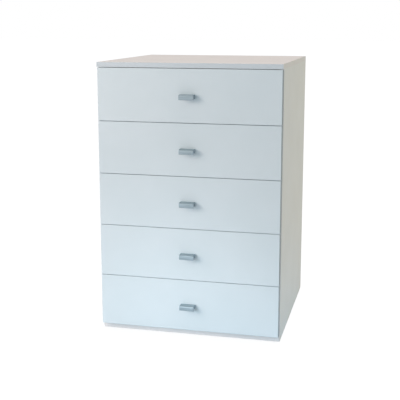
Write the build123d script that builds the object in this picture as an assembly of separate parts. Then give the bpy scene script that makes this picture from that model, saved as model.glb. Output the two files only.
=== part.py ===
from build123d import *
import math
import os

# A free-standing unit of equal drawers on roller runners, in millimetres.
# Z is up and the drawers open towards -Y. The origin is on the floor, under the middle of the
# unit measured with its handles.

# Overall sizes
unit_width = 600.0
unit_depth = 600.0  # from the faces of the fronts to the back
unit_height = 900.0  # from the floor to the top
drawer_count = 5

# Boards
board = 16.0  # carcass sides, top and bottom
front_board = 18.0
box_board = 12.0  # drawer sides and backs
back_board = 4.0  # hardboard back of the carcass
base_board = 4.0  # hardboard drawer bottoms
edge_round = 1.0  # on banded edges that show

# Fronts
front_gap = 1.5  # between two fronts, and under the top
front_reveal = 2.0  # from the end of a front to the outside of the carcass
front_standoff = 2.0  # from a closed front to the carcass
front_low_gap = 5.0  # from the top of the bottom panel up to the lowest front

# Grooves
groove_slack = 0.2  # on each face of a board in its groove
groove_end_slack = 0.5  # from the edge of a board to the floor of its groove
back_groove_depth = 7.0
back_inset = 10.0  # from the back of the carcass to the back board
base_groove_depth = 6.0
base_rise = 10.0  # from the lower edge of a drawer side to its groove

# Drawer boxes
box_lift = 26.0  # from the lower edge of a front to its box
box_headroom = 24.0  # from the top of the drawer sides to the top of their front
box_back_room = 18.0  # from the back of a box to the back board
box_back_drop = 10.0  # from the top of the sides to the top of the back
side_ease = 1.5  # chamfer on the lower outer edge of a drawer side

# Runners
runner_space = 12.5  # between a carcass side and a drawer side
channel_setback = 2.0  # behind the front edge of the carcass
channel_back_room = 14.0  # from the back of the channel to the back board
drawer_runner_setback = 1.0  # behind the front
drawer_runner_short = 4.0  # from the back of the drawer runner to the back of its box
axles_apart = 120.0  # from the front axle to the rear one when the drawer is fully open
sheet = 1.2
bend_ease = 0.8  # flat on the outside of each bend
floor_clear = 0.7  # from the edge of the channel's floor to the drawer runner
upper_clear = 3.3  # from the edge of the channel's upper flange to the drawer runner
channel_mouth = 40.0  # at the front, where the upper flange is cut away
mouth_step = 2.0  # of the upper flange left along the mouth
ride_flange_clear = 1.2  # from the riding flange to the web of the channel
ride_flange_lift = 0.5  # above the rear roller, and below the upper flange
stop_height = 4.0  # of the tab that the rear roller meets
stop_margin = 2.0  # of the channel's floor on each side of the tab
stop_gap = 0.4  # to the rear roller when the drawer is fully open

# Rollers and their axles
roller_radius = 9.0
roller_gap = 0.3  # between a roller and what it rolls on
roller_side_gap = 0.4  # from a web to its roller
axle_radius = 2.4
axle_slack = 0.08
axle_end = 0.6  # past the roller
axle_clear = 1.7  # from the end of an axle to the web across from it
front_roller_inset = 12.0  # from the front of the channel to the axle
rear_roller_inset = 10.0  # from the back of the drawer runner to the axle

# Handles
handle_width = 48.0
handle_reach = 24.0  # from the face of a front to the outside of the lip
handle_height = 16.0
handle_wall = 3.0
handle_foot = 4.0  # thickness of the foot on the front
handle_foot_height = 14.0
handle_bend = 5.0  # outside of the bend from the top to the lip
handle_corner = 2.0  # outside corner over the foot
lip_round_share = 0.4  # of the wall, at the free end of the lip
handle_drop = 3.0  # from the middle of a front to the middle of its handle

# Glides and buffers
glide_height = 5.0
glide_radius = 7.0
glide_inset = 45.0  # from the front and the back of the carcass
buffer_width = 9.0
buffer_gap = 0.3  # to a closed front
buffer_draft = 15.0  # degrees
buffer_drop = 20.0  # from the top of a front

cut_overrun = 2.0

# Places worked out from the sizes above
half_width = unit_width / 2
inner_half = half_width - board
front_face_y = (handle_reach - unit_depth) / 2
front_rear_y = front_face_y + front_board
carcass_front_y = front_rear_y + front_standoff
rear_y = front_face_y + unit_depth
back_y = rear_y - back_inset - back_board
carcass_z = glide_height
bottom_top_z = carcass_z + board
side_top_z = unit_height - board
side_middle_x = half_width - board / 2

front_half_width = half_width - front_reveal
fronts_top_z = side_top_z - front_gap
fronts_low_z = bottom_top_z + front_low_gap
front_pitch = (fronts_top_z - fronts_low_z + front_gap) / drawer_count
front_height = front_pitch - front_gap

box_half_width = inner_half - runner_space
box_inner_half = box_half_width - box_board
box_height = front_height - box_lift - box_headroom
box_rear_y = back_y - box_back_room

back_groove = back_board + 2 * groove_slack
back_half_width = inner_half + back_groove_depth - groove_end_slack
base_groove = base_board + 2 * groove_slack
base_half_width = box_inner_half + base_groove_depth - groove_end_slack

# Heights in a runner, above the lower edge of the drawer side
rear_axle_rise = roller_gap + roller_radius
ride_rise = rear_axle_rise + roller_radius + ride_flange_lift
front_axle_rise = ride_rise - roller_gap - roller_radius
upper_rise = ride_rise + sheet + ride_flange_lift

# Places in the depth of a runner
channel_y = carcass_front_y + channel_setback
channel_length = back_y - channel_back_room - channel_y
drawer_runner_y = front_rear_y + drawer_runner_setback
drawer_runner_length = box_rear_y - drawer_runner_short - drawer_runner_y
front_axle_y = channel_y + front_roller_inset
rear_axle_y = drawer_runner_y + drawer_runner_length - rear_roller_inset
drawer_travel = rear_axle_y - front_axle_y - axles_apart
stop_drop = roller_radius + roller_gap - stop_height  # from the rear axle to the top of the tab
stop_reach = math.sqrt(roller_radius**2 - stop_drop**2)
stop_y = rear_axle_y - drawer_travel - stop_reach - stop_gap

channel_web_x = inner_half - sheet  # the face of the web that looks at the drawer
drawer_web_x = box_half_width + sheet  # the face of the web that looks at the carcass
roller_width = channel_web_x - drawer_web_x - roller_side_gap - axle_end - axle_clear


def box_between(low, high):
    sizes = [b - a for a, b in zip(low, high)]
    return Pos(*low) * Box(*sizes, align=(Align.MIN, Align.MIN, Align.MIN))


def rod(start_x, end_x, radius, y, z):
    # A round bar along X
    plane = Plane(origin=(start_x, y, z), x_dir=(0, 1, 0), z_dir=(1, 0, 0))
    return extrude(plane * Circle(radius), amount=end_x - start_x)


def along_depth(section, front_y, length):
    # A section drawn in X and Z, carried back from front_y
    plane = Plane(origin=(0, front_y, 0), x_dir=(1, 0, 0), z_dir=(0, -1, 0))
    return extrude(plane * section, amount=-length)


def outline(points):
    return make_face(Polyline(*points, close=True))


def corner(section, place):
    return section.vertices().sort_by_distance(place)[0]


def edges_at(shape, axis, place):
    return shape.edges().filter_by_position(axis, place, place)


def mirrored(shape):
    return mirror(shape, about=Plane.YZ)


def front_low_z(number):
    return fronts_top_z + front_gap - number * front_pitch


def box_z(number):
    return front_low_z(number) + box_lift


def handle_z(number):
    return front_low_z(number) + front_height / 2 - handle_drop


def top_panel():
    panel = box_between((-half_width, front_face_y, side_top_z), (half_width, rear_y, unit_height))
    upper = edges_at(panel, Axis.Z, unit_height)
    front = edges_at(panel, Axis.Y, front_face_y)
    panel = fillet(upper + edges_at(front, Axis.Z, side_top_z), edge_round)
    reach = back_half_width + groove_end_slack
    groove_y = back_y - groove_slack
    return panel - box_between(
        (-reach, groove_y, side_top_z - cut_overrun),
        (reach, groove_y + back_groove, side_top_z + back_groove_depth),
    )


def right_side_panel():
    panel = box_between((inner_half, carcass_front_y, carcass_z), (half_width, rear_y, side_top_z))
    panel = fillet(edges_at(panel, Axis.Y, carcass_front_y).filter_by(Axis.Z), edge_round)
    groove_y = back_y - groove_slack
    return panel - box_between(
        (inner_half - cut_overrun, groove_y, carcass_z - cut_overrun),
        (inner_half + back_groove_depth, groove_y + back_groove, side_top_z + cut_overrun),
    )


def bottom_panel():
    panel = box_between(
        (-inner_half, carcass_front_y, carcass_z), (inner_half, rear_y, bottom_top_z)
    )
    reach = inner_half + cut_overrun
    groove_y = back_y - groove_slack
    return panel - box_between(
        (-reach, groove_y, bottom_top_z - back_groove_depth),
        (reach, groove_y + back_groove, bottom_top_z + cut_overrun),
    )


def back_panel():
    low_z = bottom_top_z - back_groove_depth + groove_end_slack
    high_z = side_top_z + back_groove_depth - groove_end_slack
    return box_between(
        (-back_half_width, back_y, low_z), (back_half_width, back_y + back_board, high_z)
    )


def floor_glides():
    glide = extrude(Circle(glide_radius), amount=glide_height)
    places_x = (-side_middle_x, side_middle_x)
    places_y = (carcass_front_y + glide_inset, rear_y - glide_inset)
    return Compound([Pos(x, y, 0) * glide for x in places_x for y in places_y])


def front_buffers():
    # Tapered pads on the front edges of the sides, near the top of each front
    pads = []
    for number in range(1, drawer_count + 1):
        z = front_low_z(number) + front_height - buffer_drop
        plane = Plane(
            origin=(side_middle_x, carcass_front_y, z), x_dir=(1, 0, 0), z_dir=(0, -1, 0)
        )
        pad = extrude(
            plane * Rectangle(buffer_width, buffer_width),
            amount=front_standoff - buffer_gap,
            taper=buffer_draft,
        )
        pads += [pad, mirrored(pad)]
    return Compound(pads)


def axle(web_x, direction, y, z):
    # A pin riveted through a web, on the side that direction points to
    length = roller_side_gap + roller_width + axle_end
    return rod(web_x - direction * sheet, web_x + direction * length, axle_radius, y, z)


def roller(web_x, direction, y, z):
    near_x = web_x + direction * roller_side_gap
    far_x = near_x + direction * roller_width
    overrun = direction * cut_overrun
    bore = rod(near_x - overrun, far_x + overrun, axle_radius + axle_slack, y, z)
    return rod(near_x, far_x, roller_radius, y, z) - bore


def roller_pair(web_x, direction, y, z):
    right = roller(web_x, direction, y, z)
    return Compound([right, mirrored(right)])


def right_channel(number):
    # Channel on the carcass side. The rear roller runs in it, and its own roller is at the front
    floor_z = box_z(number)
    upper_z = floor_z + upper_rise
    floor_edge_x = drawer_web_x + floor_clear
    upper_edge_x = drawer_web_x + upper_clear
    high_bend = (inner_half, upper_z + sheet)
    low_bend = (inner_half, floor_z - sheet)
    section = outline(
        [
            (upper_edge_x, upper_z + sheet),
            high_bend,
            low_bend,
            (floor_edge_x, floor_z - sheet),
            (floor_edge_x, floor_z),
            (channel_web_x, floor_z),
            (channel_web_x, upper_z),
            (upper_edge_x, upper_z),
        ]
    )
    section = chamfer([corner(section, high_bend), corner(section, low_bend)], bend_ease)
    channel = along_depth(section, channel_y, channel_length)
    channel -= box_between(
        (upper_edge_x - cut_overrun, channel_y - cut_overrun, upper_z - cut_overrun),
        (channel_web_x - mouth_step, channel_y + channel_mouth, upper_z + sheet + cut_overrun),
    )
    # The stop is a tab lanced from the floor and bent up, which leaves a window in front of it
    stop_low_x = floor_edge_x + stop_margin
    stop_high_x = channel_web_x - stop_margin
    stop_front_y = stop_y - sheet
    channel -= box_between(
        (stop_low_x, stop_front_y - stop_height, floor_z - sheet - cut_overrun),
        (stop_high_x, stop_front_y, floor_z + cut_overrun),
    )
    channel += box_between(
        (stop_low_x, stop_front_y, floor_z - sheet), (stop_high_x, stop_y, floor_z + stop_height)
    )
    return channel + axle(channel_web_x, -1, front_axle_y, floor_z + front_axle_rise)


def right_drawer_runner(number):
    # Z section: the upper flange rides on the front roller, the lower one carries the drawer side
    low_z = box_z(number)
    ride_z = low_z + ride_rise
    ride_edge_x = channel_web_x - ride_flange_clear
    high_bend = (box_half_width, ride_z + sheet)
    low_bend = (drawer_web_x, low_z - sheet)
    section = outline(
        [
            (ride_edge_x, ride_z),
            (ride_edge_x, ride_z + sheet),
            high_bend,
            (box_half_width, low_z),
            (box_inner_half, low_z),
            (box_inner_half, low_z - sheet),
            low_bend,
            (drawer_web_x, ride_z),
        ]
    )
    section = chamfer([corner(section, high_bend), corner(section, low_bend)], bend_ease)
    runner = along_depth(section, drawer_runner_y, drawer_runner_length)
    return runner + axle(drawer_web_x, 1, rear_axle_y, low_z + rear_axle_rise)


def drawer_front(number):
    low_z = front_low_z(number)
    panel = box_between(
        (-front_half_width, front_face_y, low_z),
        (front_half_width, front_rear_y, low_z + front_height),
    )
    panel = fillet(edges_at(panel, Axis.Y, front_face_y), edge_round)
    groove_z = box_z(number) + base_rise
    reach = base_half_width + groove_end_slack
    return panel - box_between(
        (-reach, front_rear_y - base_groove_depth, groove_z),
        (reach, front_rear_y + cut_overrun, groove_z + base_groove),
    )


def right_drawer_side(number):
    low_z = box_z(number)
    side = box_between(
        (box_inner_half, front_rear_y, low_z), (box_half_width, box_rear_y, low_z + box_height)
    )
    outer = edges_at(side, Axis.X, box_half_width)
    side = chamfer(edges_at(outer, Axis.Z, low_z), side_ease)
    groove_z = low_z + base_rise
    return side - box_between(
        (box_inner_half - cut_overrun, front_rear_y - cut_overrun, groove_z),
        (box_inner_half + base_groove_depth, box_rear_y + cut_overrun, groove_z + base_groove),
    )


def drawer_back(number):
    low_z = box_z(number)
    return box_between(
        (-box_inner_half, box_rear_y - box_board, low_z + base_rise + base_groove),
        (box_inner_half, box_rear_y, low_z + box_height - box_back_drop),
    )


def drawer_bottom(number):
    low_z = box_z(number) + base_rise + groove_slack
    front_y = front_rear_y - base_groove_depth + groove_end_slack
    return box_between(
        (-base_half_width, front_y, low_z), (base_half_width, box_rear_y, low_z + base_board)
    )


def handle(number):
    # An extruded hook: a foot on the front, a top that reaches out and a lip that hangs down
    high = handle_height / 2
    low = high - handle_height
    bend_out = (handle_reach, high)
    bend_in = (handle_reach - handle_wall, high - handle_wall)
    lip_ends = [(handle_reach, low), (handle_reach - handle_wall, low)]
    section = outline(
        [
            (0, high),
            bend_out,
            *lip_ends,
            bend_in,
            (handle_foot, high - handle_wall),
            (handle_foot, high - handle_foot_height),
            (0, high - handle_foot_height),
        ]
    )
    section = fillet(corner(section, bend_out), handle_bend)
    section = fillet(corner(section, bend_in), handle_bend - handle_wall)
    section = fillet(corner(section, (0, high)), handle_corner)
    lip_round = handle_wall * lip_round_share
    section = fillet([corner(section, place) for place in lip_ends], lip_round)
    plane = Plane(
        origin=(handle_width / 2, front_face_y, handle_z(number)),
        x_dir=(0, -1, 0),
        z_dir=(-1, 0, 0),
    )
    return extrude(plane * section, amount=handle_width)


def carcass_nodes():
    side = right_side_panel()
    channels = [right_channel(number) for number in range(1, drawer_count + 1)]
    return {
        "top_panel": top_panel(),
        "left_side_panel": mirrored(side),
        "right_side_panel": side,
        "bottom_panel": bottom_panel(),
        "back_panel": back_panel(),
        "floor_glides": floor_glides(),
        "front_buffers": front_buffers(),
        "left_cabinet_runners": Compound([mirrored(channel) for channel in channels]),
        "right_cabinet_runners": Compound(channels),
    }


def drawer_nodes(number):
    side = right_drawer_side(number)
    runner = right_drawer_runner(number)
    front_axle_z = box_z(number) + front_axle_rise
    rear_axle_z = box_z(number) + rear_axle_rise
    pieces = {
        "front": drawer_front(number),
        "handle": handle(number),
        "left_side": mirrored(side),
        "right_side": side,
        "back": drawer_back(number),
        "bottom": drawer_bottom(number),
        "left_runner": mirrored(runner),
        "right_runner": runner,
        "front_rollers": roller_pair(channel_web_x, -1, front_axle_y, front_axle_z),
        "rear_rollers": roller_pair(drawer_web_x, 1, rear_axle_y, rear_axle_z),
    }
    return {f"drawer_{number}_{piece}": shape for piece, shape in pieces.items()}


nodes = carcass_nodes()
for drawer in range(1, drawer_count + 1):
    nodes.update(drawer_nodes(drawer))

os.makedirs("parts", exist_ok=True)
for name, shape in nodes.items():
    export_step(shape, f"parts/{name}.step")
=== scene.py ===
import math

import bmesh
import bpy
from mathutils import Matrix, Vector


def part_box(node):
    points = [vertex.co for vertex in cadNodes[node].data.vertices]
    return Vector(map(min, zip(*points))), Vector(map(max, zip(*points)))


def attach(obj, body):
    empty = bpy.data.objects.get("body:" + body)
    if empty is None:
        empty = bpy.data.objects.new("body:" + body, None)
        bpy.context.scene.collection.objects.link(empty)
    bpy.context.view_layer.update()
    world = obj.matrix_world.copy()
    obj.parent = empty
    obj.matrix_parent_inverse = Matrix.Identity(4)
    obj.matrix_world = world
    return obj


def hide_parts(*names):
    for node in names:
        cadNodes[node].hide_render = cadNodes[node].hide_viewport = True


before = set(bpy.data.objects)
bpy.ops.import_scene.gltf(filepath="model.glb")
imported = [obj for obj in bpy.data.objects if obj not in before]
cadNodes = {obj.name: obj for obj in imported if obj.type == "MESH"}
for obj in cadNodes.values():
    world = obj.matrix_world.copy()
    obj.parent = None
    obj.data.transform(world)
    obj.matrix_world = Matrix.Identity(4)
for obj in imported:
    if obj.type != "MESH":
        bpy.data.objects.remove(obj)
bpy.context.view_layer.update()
drawerNumbers = range(1, 6)  # 1 is the top drawer
mm = 0.001
print("frame loaded:", len(cadNodes), "nodes")


# Camera, at the photograph's angle
photoCamera = {
    "place": (0.642, -2.802, 1.028),  # metres
    "turnLeft": 13.47,  # degrees
    "lookDown": 10.59,  # degrees
    "lens": 74.6,  # mm
    "sensor": 36.0,  # mm
    "shift": -0.06,  # the upright edges hardly converge in the photograph
    "farthest": 100.0,  # metres
}
cameraData = bpy.data.cameras.new("photoCamera")
cameraData.lens = photoCamera["lens"]
cameraData.sensor_width = photoCamera["sensor"]
cameraData.shift_y = photoCamera["shift"]
cameraData.clip_end = photoCamera["farthest"]
camera = bpy.data.objects.new("photoCamera", cameraData)
camera.location = photoCamera["place"]
camera.rotation_euler = (
    math.radians(90 - photoCamera["lookDown"]), 0, math.radians(photoCamera["turnLeft"])
)
bpy.context.scene.collection.objects.link(camera)
bpy.context.scene.camera = camera
print("camera placed")


# Colours, nodes and materials
noiseLow, noiseHigh = 0.3, 0.7  # most of a noise pattern lies between these
squareOn = 0.7  # a surface faces along an axis when its normal reaches this share of it
waveLength = math.pi / 10  # metres, of a wave texture at scale 1


def linear(hexColour):
    parts = [int(hexColour[i:i + 2], 16) / 255 for i in (1, 3, 5)]
    return [p / 12.92 if p <= 0.04045 else ((p + 0.055) / 1.055) ** 2.4 for p in parts] + [1]


def perMetre(size):
    return 1000 / size  # pattern scale for a feature that many millimetres wide


def addNode(tree, kind, values=None, links=None, stops=None, **settings):
    node = tree.nodes.new(kind)
    for name, value in settings.items():
        setattr(node, name, value)
    for socket, value in (values or {}).items():
        node.inputs[socket].default_value = value
    for socket, source in (links or {}).items():
        tree.links.new(source, node.inputs[socket])
    for index, (place, hexColour) in enumerate(stops or ()):
        elements = node.color_ramp.elements
        element = elements[index] if index < 2 else elements.new(place)
        element.position, element.color = place, linear(hexColour)
    return node


def startMaterial(name, values):
    material = bpy.data.materials.new(name)
    material.use_nodes = True
    tree = material.node_tree
    shader = tree.nodes["Principled BSDF"]
    for socket, value in values.items():
        shader.inputs[socket].default_value = value
    return material, tree, shader


def towards(tree, normal, axis, end):
    # how squarely a surface faces one end of an axis, from -1 to 1
    return addNode(
        tree, "ShaderNodeMath", {1: end}, {0: normal.outputs[axis]}, operation="MULTIPLY"
    ).outputs[0]


def dress(tree, shader, colour, shine, height, depth, strength):
    # what every finish varies: its colour, its shine and a relief that many millimetres deep
    bump = addNode(
        tree, "ShaderNodeBump", {"Strength": strength, "Distance": depth * mm}, {"Height": height}
    )
    tree.links.new(colour, shader.inputs["Base Color"])
    tree.links.new(shine, shader.inputs["Roughness"])
    tree.links.new(bump.outputs[0], shader.inputs["Normal"])


def paint(nodeName, material):
    cadNodes[nodeName].material_slots[0].material = material


# Melamine-faced chipboard: printed paper pressed hot against a satin plate. An even colour with a soft
# shine, broken by a fine pebble; banded edges take tones of their own that also carry painted light and
# shade, sawn ones show chips.
melamine = {
    "pebble": 3.0,  # mm; 0.8 on the real board, drawn coarser so that it shows
    "pebbleDepth": 0.012,  # mm
    "relief": 0.6,
    "cloud": 160.0,  # mm, slow drift in the tone of the paper
    "wipe": 45.0,  # mm, where a cloth has left the shine uneven
    "roughness": (0.36, 0.46),
    "bandTone": 0.8,  # share of a band's own colour on its edge
    "bandFrom": (0.55, 0.85),  # where the eased corner turns into the band
    "seam": 1.0,  # mm, thickness of the edge band
    "seamWidth": 0.5,  # mm; 0.1 in reality
    "seamTone": 0.28,
    "chip": 3.5,  # mm, shavings in a sawn edge
    "chipTones": [(0.0, "#8a6a45"), (1.0, "#d6b98e"), (0.45, "#b8925f"), (0.75, "#c8a675")],
}


def melamineBoard(name, face, drift, bandsAndPaintedLight, size, banded, sawn):
    material, tree, shader = startMaterial(name, {"IOR": 1.5})
    where = addNode(tree, "ShaderNodeTexCoord").outputs
    cloud = addNode(
        tree, "ShaderNodeTexNoise", {"Scale": perMetre(melamine["cloud"]), "Detail": 3},
        {"Vector": where["Object"]},
    )
    paper = addNode(
        tree, "ShaderNodeValToRGB", links={"Fac": cloud.outputs["Fac"]},
        stops=[(noiseLow, face), (noiseHigh, drift)],
    )
    normal = addNode(tree, "ShaderNodeSeparateXYZ", links={"Vector": where["Normal"]})

    # distance in millimetres from each banded edge, and the fine joint one band in from it
    scaled = addNode(
        tree, "ShaderNodeVectorMath", {1: size}, {0: where["Generated"]}, operation="MULTIPLY"
    )
    across = addNode(tree, "ShaderNodeSeparateXYZ", links={"Vector": scaled.outputs[0]})
    colour = paper.outputs["Color"]
    for axis, end in banded:
        away = addNode(
            tree, "ShaderNodeMath", {1: 0.0 if end < 0 else size["XYZ".index(axis)]},
            {0: across.outputs[axis]}, operation="SUBTRACT",
        )
        inFrom = addNode(
            tree, "ShaderNodeMath", {1: -end * melamine["seam"]}, {0: away.outputs[0]},
            operation="SUBTRACT",
        )
        offSeam = addNode(tree, "ShaderNodeMath", links={0: inFrom.outputs[0]}, operation="ABSOLUTE")
        onSeam = addNode(
            tree, "ShaderNodeMapRange",
            {"From Min": 0.0, "From Max": melamine["seamWidth"], "To Min": melamine["seamTone"],
             "To Max": 0.0},
            {"Value": offSeam.outputs[0]},
        )
        onEdge = addNode(
            tree, "ShaderNodeMapRange",
            {"From Min": melamine["bandFrom"][0], "From Max": melamine["bandFrom"][1],
             "To Max": melamine["bandTone"]},
            {"Value": towards(tree, normal, axis, end)},
        )
        # mixes in the edge tones, with the painted light and shade that they carry
        for mask in (onSeam, onEdge):
            colour = addNode(
                tree, "ShaderNodeMixRGB", {"Color2": linear(bandsAndPaintedLight[axis])},
                {"Fac": mask.outputs[0], "Color1": colour},
            ).outputs[0]

    wipe = addNode(
        tree, "ShaderNodeTexNoise", {"Scale": perMetre(melamine["wipe"]), "Detail": 4},
        {"Vector": where["Object"]},
    )
    shine = addNode(
        tree, "ShaderNodeMapRange",
        {"From Min": noiseLow, "From Max": noiseHigh, "To Min": melamine["roughness"][0],
         "To Max": melamine["roughness"][1]},
        {"Value": wipe.outputs["Fac"]},
    ).outputs[0]
    pebble = addNode(
        tree, "ShaderNodeTexNoise", {"Scale": perMetre(melamine["pebble"]), "Detail": 1},
        {"Vector": where["Object"]},
    )
    height = pebble.outputs["Fac"]

    # shavings pressed flat, tan to brown, matt and a little open
    chips = addNode(
        tree, "ShaderNodeTexVoronoi", {"Scale": perMetre(melamine["chip"])},
        {"Vector": where["Object"]},
    )
    shade = addNode(tree, "ShaderNodeSeparateColor", links={"Color": chips.outputs["Color"]})
    wood = addNode(
        tree, "ShaderNodeValToRGB", links={"Fac": shade.outputs["Red"]}, stops=melamine["chipTones"]
    )
    for axis, end in sawn:
        onSaw = addNode(
            tree, "ShaderNodeMath", {1: squareOn}, {0: towards(tree, normal, axis, end)},
            operation="GREATER_THAN",
        ).outputs[0]
        colour = addNode(
            tree, "ShaderNodeMixRGB", links={"Fac": onSaw, "Color1": colour, "Color2": wood.outputs[0]}
        ).outputs[0]
        shine = addNode(tree, "ShaderNodeMath", {}, {0: shine, 1: onSaw}, operation="MAXIMUM").outputs[0]
        height = addNode(
            tree, "ShaderNodeMath", {}, {0: onSaw, 1: shade.outputs["Green"], 2: height},
            operation="MULTIPLY_ADD",
        ).outputs[0]
    dress(tree, shader, colour, shine, height, melamine["pebbleDepth"], melamine["relief"])
    return material


def boxSize(nodeName):
    low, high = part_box(nodeName)
    return [(b - a) / mm for a, b in zip(low, high)]


left, right, frontEnd, rearEnd, lowEnd, topEnd = (
    ("X", -1), ("X", 1), ("Y", -1), ("Y", 1), ("Z", -1), ("Z", 1)
)
whitesAndPaintedLight = {
    # paper, its drift, and the bands on the edges across X, Y and Z; the tones carry painted light and
    # shade, as noted on each
    # painted shade: the grey X ends and darker Z ends of the fronts stand in for the shade in the gaps
    # round them; the cool paper is partly the fronts' own tint and partly painted cool light
    "front": ("#e4ebef", "#e0e8ec", {"X": "#8c969c", "Z": "#d6dee3"}),
    # painted light: the pale front band lightens the shaded strip on the carcass's front edges under the
    # fronts
    "carcass": ("#e9e7e2", "#e5e3de", {"Y": "#f2ebea"}),
    # painted light: the top's paper is warmed for the light from above, and its front band is darkened
    # and cooled for the shade and cool light on that edge
    "top": ("#e8e2dd", "#e4ded9", {"Y": "#d4dde4"}),
}
boards = {  # node: which white, banded edges, sawn edges
    "top_panel": ("top", [frontEnd], [rearEnd]),
    "left_side_panel": ("carcass", [frontEnd], [rearEnd, lowEnd]),
    "right_side_panel": ("carcass", [frontEnd], [rearEnd, lowEnd]),
    "bottom_panel": ("carcass", [frontEnd], [rearEnd]),
}
for nodeName, (white, banded, sawn) in boards.items():
    paint(nodeName, melamineBoard(
        "whiteMelamine_" + nodeName, *whitesAndPaintedLight[white], boxSize(nodeName), banded, sawn
    ))
frontMelamine = melamineBoard(
    "paleMelamineFront", *whitesAndPaintedLight["front"], boxSize("drawer_1_front"), [left, right, lowEnd, topEnd], []
)
for number in drawerNumbers:
    paint(f"drawer_{number}_front", frontMelamine)
print("melamine boards done")


# Drawer sides and backs: chipboard wrapped in white vinyl foil, embossed with a faint run of grain
# along the board. Softer and greyer than the melamine.
foil = {
    "tones": [(0.35, "#e3e3df"), (0.75, "#d7d7d2")],  # the face, and the grain in it
    "grainAcross": 2.5,  # mm; 0.7 in reality, drawn coarser so that it shows
    "grainAlong": 60.0,  # mm
    "depth": 0.02,  # mm
    "relief": 0.5,
    "roughness": (0.38, 0.58),
}


def foilWrap(name, along):
    material, tree, shader = startMaterial(name, {"IOR": 1.53})
    where = addNode(tree, "ShaderNodeTexCoord").outputs
    stretch = [perMetre(foil["grainAlong" if axis == along else "grainAcross"]) for axis in "XYZ"]
    laid = addNode(
        tree, "ShaderNodeVectorMath", {1: stretch}, {0: where["Object"]}, operation="MULTIPLY"
    )
    grain = addNode(
        tree, "ShaderNodeTexNoise", {"Scale": 1.0, "Detail": 3}, {"Vector": laid.outputs[0]}
    ).outputs["Fac"]
    tone = addNode(tree, "ShaderNodeValToRGB", links={"Fac": grain}, stops=foil["tones"])
    shine = addNode(
        tree, "ShaderNodeMapRange",
        {"To Min": foil["roughness"][0], "To Max": foil["roughness"][1]}, {"Value": grain},
    )
    dress(tree, shader, tone.outputs["Color"], shine.outputs[0], grain, foil["depth"], foil["relief"])
    return material


sideFoil = foilWrap("vinylFoilSides", "Y")
backFoil = foilWrap("vinylFoilBacks", "X")
for number in drawerNumbers:
    for end in ("left_side", "right_side"):
        paint(f"drawer_{number}_{end}", sideFoil)
    paint(f"drawer_{number}_back", backFoil)
print("drawer boxes done")


# Hardboard: wood fibre pressed wet on a wire screen. One face is lacquered white, the other is bare
# brown with the print of the screen, fibres and darker flecks.
hardboard = {
    "lacquer": [(0.35, "#e4e3de"), (0.7, "#dcdbd6")],
    "bare": [(0.3, "#8d6a47"), (0.7, "#a07c55")],
    "fleckTone": "#5f4229",
    "fleckFrom": (0.5, 0.75),
    "fleckShare": 0.55,
    "screen": 5.0,  # mm; 1.6 in reality, drawn coarser so that it shows
    "fleck": 7.0,  # mm
    "stain": 110.0,  # mm
    "depth": 0.25,  # mm
    "relief": 0.6,
    "underLacquer": 0.1,  # share of the relief that the lacquer leaves
    "roughness": (0.72, 0.36),  # bare, lacquered
}


def lacqueredHardboard(name, bareAxis, bareEnd, screenAxes):
    material, tree, shader = startMaterial(name, {"IOR": 1.5})
    where = addNode(tree, "ShaderNodeTexCoord").outputs
    normal = addNode(tree, "ShaderNodeSeparateXYZ", links={"Vector": where["Normal"]})
    white = addNode(
        tree, "ShaderNodeMath", {1: squareOn}, {0: towards(tree, normal, bareAxis, -bareEnd)},
        operation="GREATER_THAN",
    ).outputs[0]
    stain = addNode(
        tree, "ShaderNodeTexNoise", {"Scale": perMetre(hardboard["stain"]), "Detail": 4},
        {"Vector": where["Object"]},
    )
    fleck = addNode(
        tree, "ShaderNodeTexNoise",
        {"Scale": perMetre(hardboard["fleck"]), "Detail": 5, "Roughness": 0.7},
        {"Vector": where["Object"]},
    )
    brown = addNode(
        tree, "ShaderNodeValToRGB", links={"Fac": stain.outputs["Fac"]}, stops=hardboard["bare"]
    )
    dark = addNode(
        tree, "ShaderNodeMapRange",
        {"From Min": hardboard["fleckFrom"][0], "From Max": hardboard["fleckFrom"][1],
         "To Max": hardboard["fleckShare"]},
        {"Value": fleck.outputs["Fac"]},
    )
    bare = addNode(
        tree, "ShaderNodeMixRGB", {"Color2": linear(hardboard["fleckTone"])},
        {"Fac": dark.outputs[0], "Color1": brown.outputs[0]},
    )
    lacquer = addNode(
        tree, "ShaderNodeValToRGB", links={"Fac": stain.outputs["Fac"]}, stops=hardboard["lacquer"]
    )
    colour = addNode(
        tree, "ShaderNodeMixRGB",
        links={"Fac": white, "Color1": bare.outputs[0], "Color2": lacquer.outputs[0]},
    )
    warp, weft = [  # the two ways of the wire screen
        addNode(
            tree, "ShaderNodeTexWave", {"Scale": waveLength * perMetre(hardboard["screen"])},
            {"Vector": where["Object"]}, bands_direction=axis,
        ).outputs["Fac"] for axis in screenAxes
    ]
    screen = addNode(tree, "ShaderNodeMath", {}, {0: warp, 1: weft}, operation="MULTIPLY")
    rough = addNode(
        tree, "ShaderNodeMapRange",
        {"To Min": hardboard["roughness"][0], "To Max": hardboard["roughness"][1]}, {"Value": white},
    )
    relief = addNode(
        tree, "ShaderNodeMath", {},
        {0: screen.outputs[0], 1: fleck.outputs["Fac"]}, operation="ADD",
    )
    openness = addNode(
        tree, "ShaderNodeMapRange", {"To Min": 1.0, "To Max": hardboard["underLacquer"]},
        {"Value": white},
    )
    height = addNode(
        tree, "ShaderNodeMath", {}, {0: relief.outputs[0], 1: openness.outputs[0]},
        operation="MULTIPLY",
    )
    dress(
        tree, shader, colour.outputs[0], rough.outputs[0], height.outputs[0], hardboard["depth"],
        hardboard["relief"],
    )
    return material


paint("back_panel", lacqueredHardboard("hardboardBack", "Y", 1, "XZ"))
drawerHardboard = lacqueredHardboard("hardboardBottoms", "Z", -1, "XY")
for number in drawerNumbers:
    paint(f"drawer_{number}_bottom", drawerHardboard)
print("hardboard done")


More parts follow.
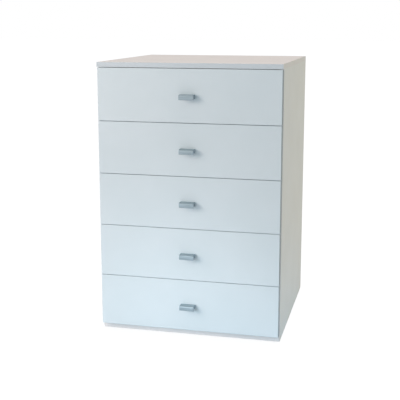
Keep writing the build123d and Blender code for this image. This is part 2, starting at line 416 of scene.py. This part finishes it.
# Runners: rolled steel with a baked white epoxy coat. Glossier than the boards, with orange peel,
# and greyed in streaks where the rollers have run.
epoxy = {
    "coat": "#e8e8e4",
    "streak": "#bdbdb8",
    "streakAcross": 1.5,  # mm
    "streakAlong": 120.0,  # mm
    "streakFrom": (0.5, 0.75),
    "peel": 3.0,  # mm
    "peelDepth": 0.02,  # mm
    "relief": 0.5,
    "roughness": (0.26, 0.42),  # fresh, streaked
}
epoxySteel, tree, shader = startMaterial("whiteEpoxySteel", {"IOR": 1.55})
where = addNode(tree, "ShaderNodeTexCoord").outputs
normal = addNode(tree, "ShaderNodeSeparateXYZ", links={"Vector": where["Normal"]})
level = addNode(tree, "ShaderNodeMath", links={0: normal.outputs["Z"]}, operation="ABSOLUTE")
stretch = [perMetre(epoxy[way]) for way in ("streakAcross", "streakAlong", "streakAcross")]
run = addNode(
    tree, "ShaderNodeVectorMath", {1: stretch}, {0: where["Object"]}, operation="MULTIPLY"
)
streak = addNode(tree, "ShaderNodeTexNoise", {"Scale": 1.0, "Detail": 3}, {"Vector": run.outputs[0]})
worn = addNode(
    tree, "ShaderNodeMapRange",
    {"From Min": epoxy["streakFrom"][0], "From Max": epoxy["streakFrom"][1]},
    {"Value": streak.outputs["Fac"]},
)
greyed = addNode(
    tree, "ShaderNodeMath", {}, {0: worn.outputs[0], 1: level.outputs[0]}, operation="MULTIPLY"
)
coat = addNode(
    tree, "ShaderNodeMixRGB", {"Color1": linear(epoxy["coat"]), "Color2": linear(epoxy["streak"])},
    {"Fac": greyed.outputs[0]},
)
peel = addNode(
    tree, "ShaderNodeTexNoise", {"Scale": perMetre(epoxy["peel"]), "Detail": 1},
    {"Vector": where["Object"]},
)
shine = addNode(
    tree, "ShaderNodeMapRange",
    {"To Min": epoxy["roughness"][0], "To Max": epoxy["roughness"][1]}, {"Value": greyed.outputs[0]},
)
dress(
    tree, shader, coat.outputs[0], shine.outputs[0], peel.outputs["Fac"], epoxy["peelDepth"],
    epoxy["relief"],
)
runnerNodes = ["left_cabinet_runners", "right_cabinet_runners"]
for number in drawerNumbers:
    runnerNodes += [f"drawer_{number}_left_runner", f"drawer_{number}_right_runner"]
for nodeName in runnerNodes:
    paint(nodeName, epoxySteel)
print("runners done")


# The small finishes: a base colour and a fleck of it, the size of the pattern along X, Y and Z in
# millimetres, a range of roughness, the depth of the relief in millimetres, and fixed values
fleckStops = (0.35, 0.7)
fleckRelief = 0.5
smallFinishes = {
    # extruded, brushed along its length and anodised: satin, with fine lines
    "brushedAnodisedAluminium": {
        "colours": ("#b6c3ca", "#a5b3ba"), "pattern": (40.0, 0.9, 0.9), "shine": (0.54, 0.66),
        "depth": 0.01, "shader": {"Metallic": 1.0},
    },
    # turned and dipped in bright zinc: hard highlights, faint clouds
    "zincPlatedSteel": {
        "colours": ("#cdd0d2", "#b7b9b4"), "pattern": (3.0, 3.0, 3.0), "shine": (0.22, 0.38),
        "depth": 0.005, "shader": {"Metallic": 1.0},
    },
    # cast under pressure and tumbled: dull grey, slightly grainy
    "dieCastZinc": {
        "colours": ("#a9adb0", "#8e9296"), "pattern": (1.2, 1.2, 1.2), "shine": (0.38, 0.55),
        "depth": 0.03, "shader": {"Metallic": 1.0},
    },
    # moulded nylon: ivory, waxy, lets a little light in
    "mouldedNylon": {
        "colours": ("#e6e2d5", "#dcd7c8"), "pattern": (4.0, 4.0, 4.0), "shine": (0.32, 0.46),
        "depth": 0.01, "shader": {"IOR": 1.53, "Subsurface Weight": 0.1, "Subsurface Scale": 0.002},
    },
    # moulded polythene: pale grey, soft and scuffed
    "mouldedPolythene": {
        "colours": ("#c3c5c5", "#aeb0b0"), "pattern": (2.5, 2.5, 2.5), "shine": (0.42, 0.62),
        "depth": 0.03, "shader": {"IOR": 1.51},
    },
    # cast polyurethane: milky and smooth
    "castPolyurethane": {
        "colours": ("#dedfdb", "#d2d4d0"), "pattern": (5.0, 5.0, 5.0), "shine": (0.24, 0.36),
        "depth": 0.005, "shader": {"IOR": 1.5, "Subsurface Weight": 0.2, "Subsurface Scale": 0.002},
    },
}
finishes = {}
for name, finish in smallFinishes.items():
    finishes[name], tree, shader = startMaterial(name, finish["shader"])
    where = addNode(tree, "ShaderNodeTexCoord").outputs
    laid = addNode(
        tree, "ShaderNodeVectorMath", {1: [perMetre(size) for size in finish["pattern"]]},
        {0: where["Object"]}, operation="MULTIPLY",
    )
    fleck = addNode(
        tree, "ShaderNodeTexNoise", {"Scale": 1.0, "Detail": 3}, {"Vector": laid.outputs[0]}
    ).outputs["Fac"]
    tone = addNode(
        tree, "ShaderNodeValToRGB", links={"Fac": fleck}, stops=list(zip(fleckStops, finish["colours"]))
    )
    shine = addNode(
        tree, "ShaderNodeMapRange",
        {"From Min": noiseLow, "From Max": noiseHigh, "To Min": finish["shine"][0],
         "To Max": finish["shine"][1]},
        {"Value": fleck},
    )
    dress(tree, shader, tone.outputs["Color"], shine.outputs[0], fleck, finish["depth"], fleckRelief)
print("finishes done:", len(finishes))


# Mesh helpers. Sizes are in millimetres until a piece is made.
sharpFrom = 32  # degrees between faces, above which an edge stays sharp
headCurve = [(1.0, 0.25), (0.95, 0.6), (0.82, 0.88), (0.66, 1.0)]  # shares of a head's radius and height
recessTaper = 0.72  # floor of a recess as a share of its mouth
mitreLimit = 0.5  # keeps a sharp corner from moving far


def boxOf(nodeName):
    return [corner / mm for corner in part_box(nodeName)]


def middle(low, high):
    return (low + high) / 2


def makePiece(name, mesh, finish, body, replaced=()):
    bmesh.ops.scale(mesh, vec=(mm, mm, mm), verts=mesh.verts)
    bmesh.ops.recalc_face_normals(mesh, faces=mesh.faces)
    data = bpy.data.meshes.new(name)
    mesh.to_mesh(data)
    mesh.free()
    data.polygons.foreach_set("use_smooth", [True] * len(data.polygons))
    data.set_sharp_from_angle(angle=math.radians(sharpFrom))
    data.materials.append(finishes[finish])
    piece = bpy.data.objects.new(name, data)
    bpy.context.scene.collection.objects.link(piece)
    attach(piece, body)
    if replaced:
        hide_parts(*replaced)


def bridge(mesh, ringA, ringB):
    for i in range(len(ringA)):
        j = (i + 1) % len(ringA)
        mesh.faces.new((ringA[i], ringA[j], ringB[j], ringB[i]))


def skin(mesh, rings):
    # walls from ring to ring, and a face over each end
    for ringA, ringB in zip(rings, rings[1:]):
        bridge(mesh, ringA, ringB)
    mesh.faces.new(rings[0])
    mesh.faces.new(rings[-1])


def turned(mesh, profile, place, facing, angles):
    # rings of (radius, height) round an axis that points where facing says; a radius may be a list
    turn = Vector(facing).to_track_quat("Z", "Y").to_matrix().to_4x4()
    spot = Matrix.Translation(place) @ turn
    rings = []
    for radius, height in profile:
        radii = radius if isinstance(radius, list) else [radius] * len(angles)
        rings.append([
            mesh.verts.new(spot @ Vector((r * math.cos(a), r * math.sin(a), height)))
            for r, a in zip(radii, angles)
        ])
    skin(mesh, rings)


def roundAngles(steps):
    return [math.tau * i / steps for i in range(steps)]


def dome(mesh, place, facing, shape):
    # its curve is in shares of the radius and the height
    profile = [(shape["radius"] * out, shape["height"] * up) for out, up in shape["curve"]]
    turned(mesh, profile, place, facing, roundAngles(shape["steps"]))


def slottedHead(mesh, place, facing, head):
    # a pan head with a cross recess: the rings keep the corners of the cross, so its walls are crisp
    radius, height, arm, slot = head["radius"], head["height"], head["arm"], head["slot"]
    lean = math.atan2(slot, arm)
    quarter = [-lean, 0, lean, (lean + math.pi / 4) / 2, math.pi / 4]
    quarter.append(math.pi / 2 - quarter[3])
    angles = [math.pi / 2 * q + a for q in range(4) for a in quarter]
    cross = []
    for a in angles:
        c, s = abs(math.cos(a)), abs(math.sin(a))
        longer, shorter = max(c, s), max(min(c, s), 1e-9)  # never divides by zero
        cross.append(min(arm / longer, slot / shorter))
    profile = [(radius, -head["under"])]
    profile += [(radius * out, height * up) for out, up in headCurve]
    profile += [(cross, height), ([c * recessTaper for c in cross], height - head["depth"])]
    turned(mesh, profile, place, facing, angles)


def roundedOutline(corners, steps=6):
    # corners are (a, b, radius) in order; a radius of 0 stays sharp
    points = []
    for i, (a, b, radius) in enumerate(corners):
        here = Vector((a, b))
        if not radius:
            points.append(here)
            continue
        before = (Vector(corners[i - 1][:2]) - here).normalized()
        after = (Vector(corners[(i + 1) % len(corners)][:2]) - here).normalized()
        half = before.angle(after) / 2
        centre = here + (before + after).normalized() * (radius / math.sin(half))
        start = here + before * (radius / math.tan(half)) - centre
        end = here + after * (radius / math.tan(half)) - centre
        sweep = start.angle_signed(end)
        for k in range(steps + 1):
            t = -sweep * k / steps
            points.append(centre + Matrix.Rotation(t, 2) @ start)
    return points


def shrunk(points, inset):
    # each corner moved in by the same distance from both of its sides
    area = sum(p.x * q.y - q.x * p.y for p, q in zip(points, points[1:] + points[:1]))
    turnIn = 1 if area > 0 else -1
    moved = []
    for before, here, after in zip(points[-1:] + points[:-1], points, points[1:] + points[:1]):
        sides = [(here - before).normalized(), (after - here).normalized()]
        inward = [Vector((-side.y, side.x)) * turnIn for side in sides]
        halfway = (inward[0] + inward[1]).normalized()
        moved.append(here + halfway * (inset / max(mitreLimit, halfway.dot(inward[0]))))
    return moved


# Pulls: a length of extruded aluminium hook, sawn off and eased, with its foot on the front
pull = {
    "wall": 3.0,
    "foot": 4.0,
    "footHeight": 14.0,
    "bend": 5.0,  # outside of the bend from the top to the lip
    "overFoot": 2.0,
    "lipRound": 1.2,
    "footRound": 0.6,
    "insideRound": 1.5,
    "ease": 0.4,  # on the sawn ends
}
for number in drawerNumbers:
    low, high = boxOf(f"drawer_{number}_handle")
    outY, faceY, topZ, lipZ = low.y, high.y, high.z, low.z
    wall, foot, ease = pull["wall"], pull["foot"], pull["ease"]
    section = roundedOutline([
        (faceY, topZ, pull["overFoot"]),
        (outY, topZ, pull["bend"]),
        (outY, lipZ, pull["lipRound"]),
        (outY + wall, lipZ, pull["lipRound"]),
        (outY + wall, topZ - wall, pull["bend"] - wall),
        (faceY - foot, topZ - wall, pull["insideRound"]),
        (faceY - foot, topZ - pull["footHeight"], pull["footRound"]),
        (faceY, topZ - pull["footHeight"], pull["footRound"]),
    ])
    eased = shrunk(section, ease)
    cuts = ((low.x, eased), (low.x + ease, section), (high.x - ease, section), (high.x, eased))
    mesh = bmesh.new()
    skin(mesh, [[mesh.verts.new((x, p.x, p.y)) for p in outline] for x, outline in cuts])
    makePiece(
        f"pull_{number}", mesh, "brushedAnodisedAluminium", f"drawer_{number}",
        [f"drawer_{number}_handle"],
    )
print("pulls done")


# Screws through each front into its pull, with pan heads inside the drawer
pullScrews = {
    "apart": 32.0,
    "head": {"radius": 4.0, "height": 2.4, "arm": 1.9, "slot": 0.55, "depth": 1.5, "under": 0.0},
}
for number in drawerNumbers:
    low, high = boxOf(f"drawer_{number}_handle")
    insideY = boxOf(f"drawer_{number}_front")[1].y
    mesh = bmesh.new()
    for x in (-pullScrews["apart"] / 2, pullScrews["apart"] / 2):
        slottedHead(mesh, (x, insideY, middle(low.z, high.z)), (0, 1, 0), pullScrews["head"])
    makePiece(f"pullScrews_{number}", mesh, "zincPlatedSteel", f"drawer_{number}")
print("pull screws done")


# Cams that draw each drawer side to its front, and the screws that hold the back
boxFixings = {
    "heights": (45.0, 95.0),  # above the lower edge of the side
    "camFromFront": 24.0,
    "cam": {"radius": 7.5, "height": 0.3, "arm": 4.2, "slot": 0.9, "depth": 1.6, "under": 2.0},
    "screwFromRear": 6.0,
    "screw": {"radius": 3.4, "height": 0.25, "arm": 1.7, "slot": 0.5, "depth": 1.3, "under": 1.5},
}
for number in drawerNumbers:
    cams, screws = bmesh.new(), bmesh.new()
    low, high = boxOf(f"drawer_{number}_right_side")
    camY, screwY = low.y + boxFixings["camFromFront"], high.y - boxFixings["screwFromRear"]
    for sideways in (-1, 1):
        for rise in boxFixings["heights"]:
            x, z = sideways * high.x, low.z + rise
            slottedHead(cams, (x, camY, z), (sideways, 0, 0), boxFixings["cam"])
            slottedHead(screws, (x, screwY, z), (sideways, 0, 0), boxFixings["screw"])
    makePiece(f"sideCams_{number}", cams, "dieCastZinc", f"drawer_{number}")
    makePiece(f"backScrews_{number}", screws, "zincPlatedSteel", f"drawer_{number}")
print("drawer fixings done")


# Rollers: moulded nylon with a rounded tread, a hub and drafted ribs in a shallow pocket each side
roller = {
    "steps": 48, "ribs": 6, "ribWidth": 2,  # width in steps
    "ribBelow": 0.35,  # the ribs lie this far below the face
    "treadRound": 0.9, "treadSteps": 4,
    "bore": 2.48, "hub": 4.3, "pocketEdge": 7.3, "pocketDepth": 1.1, "draft": 0.3,
}


def innerFace(nodeName):
    # distance from the middle of the unit to the nearer face of a mirrored pair
    return min(v.co.x for v in cadNodes[nodeName].data.vertices if v.co.x > 0) / mm


def rollerMesh(mesh, low, high):
    angles = roundAngles(roller["steps"])
    middleY, middleZ = middle(low.y, high.y), middle(low.z, high.z)
    radius = (high.z - low.z) / 2
    ribStep = roller["steps"] // roller["ribs"]
    ease, deep, draft = roller["treadRound"], roller["pocketDepth"], roller["draft"]
    half = [  # (radius, distance in from the face, in the pocket), from the bore out to the tread
        (roller["bore"], 0, False), (roller["hub"], 0, False), (roller["hub"] + draft, deep, True),
        (roller["pocketEdge"] - draft, deep, True), (roller["pocketEdge"], 0, False),
    ]
    for k in range(roller["treadSteps"] + 1):
        t = math.pi / 2 * k / roller["treadSteps"]
        half.append((radius - ease * (1 - math.sin(t)), ease * (1 - math.cos(t)), False))
    rings = []
    for face, way, outline in ((low.x, 1, half), (high.x, -1, half[::-1])):
        for r, inFrom, pocket in outline:
            ring = []
            for k, a in enumerate(angles):
                onRib = pocket and k % ribStep < roller["ribWidth"]
                x = face + way * (roller["ribBelow"] if onRib else inFrom)
                ring.append(mesh.verts.new((x, middleY + r * math.cos(a), middleZ + r * math.sin(a))))
            rings.append(ring)
    for ringA, ringB in zip(rings, rings[1:] + rings[:1]):
        bridge(mesh, ringA, ringB)


for number in drawerNumbers:
    for end in ("front", "rear"):
        nodeName = f"drawer_{number}_{end}_rollers"
        low, high = boxOf(nodeName)
        inner = innerFace(nodeName)
        mesh = bmesh.new()
        rollerMesh(mesh, Vector((inner, low.y, low.z)), high)
        rollerMesh(mesh, low, Vector((-inner, high.y, high.z)))
        makePiece(
            f"{end}Rollers_{number}", mesh, "mouldedNylon", f"{end}_rollers_{number}",
            [nodeName],
        )
print("rollers done")


# Fixings of the runners: formed heads that keep the rollers on, screws into the boards
runnerFixings = {
    "rivet": {
        "radius": 3.5, "height": 0.45, "steps": 24,
        "curve": [(1.0, 0.0), (0.97, 0.5), (0.8, 0.9), (0.4, 1.0)],
    },
    "rivetClear": 0.1,  # between a roller and its head
    "web": 1.2,  # steel of the channel
    "channelScrew": {
        "radius": 3.3, "height": 0.25, "arm": 1.7, "slot": 0.5, "depth": 1.0, "under": 0.8,
    },
    "channelAlong": (60.0, 250.0, 470.0),  # from the front of the channel
    "channelRise": 11.0,  # above the lower edge of the drawer side
    "underScrew": {
        "radius": 3.3, "height": 1.7, "arm": 1.7, "slot": 0.5, "depth": 1.2, "under": 0.0,
    },
    "underAlong": (40.0, 270.0, 480.0),  # from the front of the drawer runner
    "underOut": 6.0,  # from the inside of the drawer side
}
cabinetScrews, frontRivets = bmesh.new(), bmesh.new()
channelY = boxOf("right_cabinet_runners")[0].y
webX = boxOf("right_side_panel")[0].x - runnerFixings["web"]
for number in drawerNumbers:
    sideLow = boxOf(f"drawer_{number}_right_side")[0]
    runnerLow = boxOf(f"drawer_{number}_right_runner")[0]
    frontLow, frontHigh = boxOf(f"drawer_{number}_front_rollers")
    rearLow, rearHigh = boxOf(f"drawer_{number}_rear_rollers")
    frontX = innerFace(f"drawer_{number}_front_rollers") - runnerFixings["rivetClear"]
    frontY, frontZ = middle(frontLow.y, frontHigh.y), middle(frontLow.z, frontHigh.z)
    rearX = rearHigh.x + runnerFixings["rivetClear"]
    rearY, rearZ = middle(rearLow.y, rearHigh.y), middle(rearLow.z, rearHigh.z)
    drawerScrews, rearRivets = bmesh.new(), bmesh.new()
    for sideways in (-1, 1):
        dome(frontRivets, (sideways * frontX, frontY, frontZ), (-sideways, 0, 0), runnerFixings["rivet"])
        dome(rearRivets, (sideways * rearX, rearY, rearZ), (sideways, 0, 0), runnerFixings["rivet"])
        for along in runnerFixings["channelAlong"]:
            place = (sideways * webX, channelY + along, sideLow.z + runnerFixings["channelRise"])
            slottedHead(cabinetScrews, place, (-sideways, 0, 0), runnerFixings["channelScrew"])
        for along in runnerFixings["underAlong"]:
            x = sideways * (sideLow.x + runnerFixings["underOut"])
            place = (x, runnerLow.y + along, runnerLow.z)
            slottedHead(drawerScrews, place, (0, 0, -1), runnerFixings["underScrew"])
    body = f"drawer_{number}"
    makePiece(f"runnerScrews_{number}", drawerScrews, "zincPlatedSteel", body)
    makePiece(f"rearRivets_{number}", rearRivets, "zincPlatedSteel", body)
makePiece("channelScrews", cabinetScrews, "zincPlatedSteel", "cabinet")
makePiece("frontRivets", frontRivets, "zincPlatedSteel", "cabinet")
print("runner fixings done")


# Cams of the carcass, like those of the drawers: in the sides under the top, and in the bottom
carcassCams = {"inFrom": 34.0, "fromFront": 50.0, "fromRear": 70.0}
mesh = bmesh.new()
sideLow, sideHigh = boxOf("right_side_panel")
bottomHigh = boxOf("bottom_panel")[1]
for sideways in (-1, 1):
    for y in (sideLow.y + carcassCams["fromFront"], sideHigh.y - carcassCams["fromRear"]):
        for place, facing in (
            ((sideways * sideLow.x, y, sideHigh.z - carcassCams["inFrom"]), (-sideways, 0, 0)),
            ((sideways * (bottomHigh.x - carcassCams["inFrom"]), y, bottomHigh.z), (0, 0, 1)),
        ):
            slottedHead(mesh, place, facing, boxFixings["cam"])
makePiece("carcassCams", mesh, "dieCastZinc", "cabinet")
print("carcass cams done")


# Buffers on the front edges of the sides
low, high = boxOf("front_buffers")
buffer = {
    "radius": 4.5, "height": high.y - low.y, "steps": 24,
    "curve": [(1.0, 0.0), (0.97, 0.35), (0.86, 0.68), (0.64, 0.9), (0.3, 1.0)],
    "belowTop": 20.0,  # of each front
}
mesh = bmesh.new()
for number in drawerNumbers:
    z = boxOf(f"drawer_{number}_front")[1].z - buffer["belowTop"]
    for x in (low.x + buffer["radius"], high.x - buffer["radius"]):
        dome(mesh, (x, high.y, z), (0, -1, 0), buffer)
makePiece("doorBuffers", mesh, "castPolyurethane", "cabinet", ["front_buffers"])
print("buffers done")


# Glides under the sides, each hollowed below where its nail goes in
low, high = boxOf("floor_glides")
glide = {
    "radius": 7.0, "steps": 32,
    # radius and height above the floor, down the outside and up into the hollow
    "outline": [(7.0, high.z), (7.0, 2.2), (6.75, 1.0), (6.2, 0.2), (5.6, 0.0), (3.0, 0.0), (2.6, 0.3),
                (2.4, 1.4)],
}
mesh = bmesh.new()
for x in (low.x + glide["radius"], high.x - glide["radius"]):
    for y in (low.y + glide["radius"], high.y - glide["radius"]):
        turned(mesh, glide["outline"], (x, y, 0), (0, 0, 1), roundAngles(glide["steps"]))
makePiece("floorGlides", mesh, "mouldedPolythene", "cabinet", ["floor_glides"])
print("glides done")


# Studio: a floor of pale paper, burnt out to white where the camera sees it, and pale surroundings
studio = {
    "floorHalf": 40.0,  # metres
    "floor": ("#c2cbd2", "#bec7cf"),
    "paperGrain": 300.0,  # mm
    "floorBleach": 0.82,  # how far the camera sees the floor burnt out to white
    "floorGlow": 1.15,
    "world": ("#e2fbff", 0.39),  # a cool fill
    "backdrop": ("#ffffff", 1.0),
}
paper, tree, shader = startMaterial("paperFloor", {"Roughness": 0.85, "Specular IOR Level": 0.1})
where = addNode(tree, "ShaderNodeTexCoord").outputs
grain = addNode(
    tree, "ShaderNodeTexNoise", {"Scale": perMetre(studio["paperGrain"])}, {"Vector": where["Object"]}
)
tone = addNode(
    tree, "ShaderNodeValToRGB", links={"Fac": grain.outputs["Fac"]},
    stops=list(zip((noiseLow, noiseHigh), studio["floor"])),
)
tree.links.new(tone.outputs["Color"], shader.inputs["Base Color"])
glow = addNode(
    tree, "ShaderNodeEmission",
    {"Color": linear(studio["backdrop"][0]), "Strength": studio["floorGlow"]},
)
seen = addNode(tree, "ShaderNodeLightPath")
bleach = addNode(
    tree, "ShaderNodeMath", {1: studio["floorBleach"]}, {0: seen.outputs["Is Camera Ray"]},
    operation="MULTIPLY",
)
both = addNode(
    tree, "ShaderNodeMixShader", {}, {0: bleach.outputs[0], 1: shader.outputs[0], 2: glow.outputs[0]}
)
tree.links.new(both.outputs[0], tree.nodes["Material Output"].inputs["Surface"])
half = studio["floorHalf"]
floorCorners = [(-half, -half, 0), (half, -half, 0), (half, half, 0), (-half, half, 0)]
floorData = bpy.data.meshes.new("studioFloor")
floorData.from_pydata(floorCorners, [], [(0, 1, 2, 3)])
floorData.materials.append(paper)
floor = bpy.data.objects.new("studioFloor", floorData)
bpy.context.scene.collection.objects.link(floor)

world = bpy.data.worlds.new("paleStudio")
world.use_nodes = True
bpy.context.scene.world = world
tree = world.node_tree
ambient = tree.nodes["Background"]
ambient.inputs["Color"].default_value = linear(studio["world"][0])
ambient.inputs["Strength"].default_value = studio["world"][1]
backdrop = addNode(
    tree, "ShaderNodeBackground",
    {"Color": linear(studio["backdrop"][0]), "Strength": studio["backdrop"][1]},
)
seen = addNode(tree, "ShaderNodeLightPath")
both = addNode(
    tree, "ShaderNodeMixShader", {},
    {0: seen.outputs["Is Camera Ray"], 1: ambient.outputs[0], 2: backdrop.outputs[0]},
)
tree.links.new(both.outputs[0], tree.nodes["World Output"].inputs["Surface"])
print("floor and surroundings done")


# Lamps. Places are in metres. A size is an area's width and height, a sun's angle, or a spot's angle
# and the radius of its source.
lamps = {
    "windowLeft": {"kind": "AREA", "place": (-2.0, -2.3, 1.53), "aim": (0, -0.28, 0.5),
                   "power": 46.0, "size": (1.8, 1.6), "colour": "#fff3ec"},
    "panelAbove": {"kind": "SUN", "place": (-0.2, 1.2, 3.0), "aim": (0, 0, 0.5),
                   "power": 1.87, "size": 60.0, "colour": "#ffe6e4"},
    "wallRight": {"kind": "AREA", "place": (2.6, 0.9, 1.4), "aim": (0.3, 0.1, 0.5),
                  "power": 16.2, "size": (1.6, 1.6), "colour": "#ffe8b0"},
    # soft cones of cool light that fade out upwards, over the fronts and over the side
    "lowCone": {"kind": "SPOT", "place": (-0.9, -2.9, 0.8), "aim": (0.01, -0.28, -0.12),
                "power": 119.0, "size": (26.0, 0.25), "colour": "#e2f3ff"},
    "sideCone": {"kind": "SPOT", "place": (1.9, -0.9, 0.5), "aim": (0.3, 0.0, -0.38),
                 "power": 72.0, "size": (31.0, 0.35), "colour": "#a9d2ff"},
}
for name, lamp in lamps.items():
    data = bpy.data.lights.new(name, lamp["kind"])
    data.energy = lamp["power"]
    data.color = linear(lamp["colour"])[:3]
    if lamp["kind"] == "AREA":
        data.shape = "RECTANGLE"
        data.size, data.size_y = lamp["size"]
    elif lamp["kind"] == "SPOT":
        data.spot_size = math.radians(lamp["size"][0])
        data.shadow_soft_size = lamp["size"][1]
        data.spot_blend = 1.0
    else:
        data.angle = math.radians(lamp["size"])
    light = bpy.data.objects.new(name, data)
    light.location = lamp["place"]
    aim = Vector(lamp["aim"]) - Vector(lamp["place"])
    light.rotation_euler = aim.to_track_quat("-Z", "Y").to_euler()
    light.visible_camera = False
    bpy.context.scene.collection.objects.link(light)
bpy.context.scene.view_settings.view_transform = "Standard"
print("lamps done:", len(lamps))
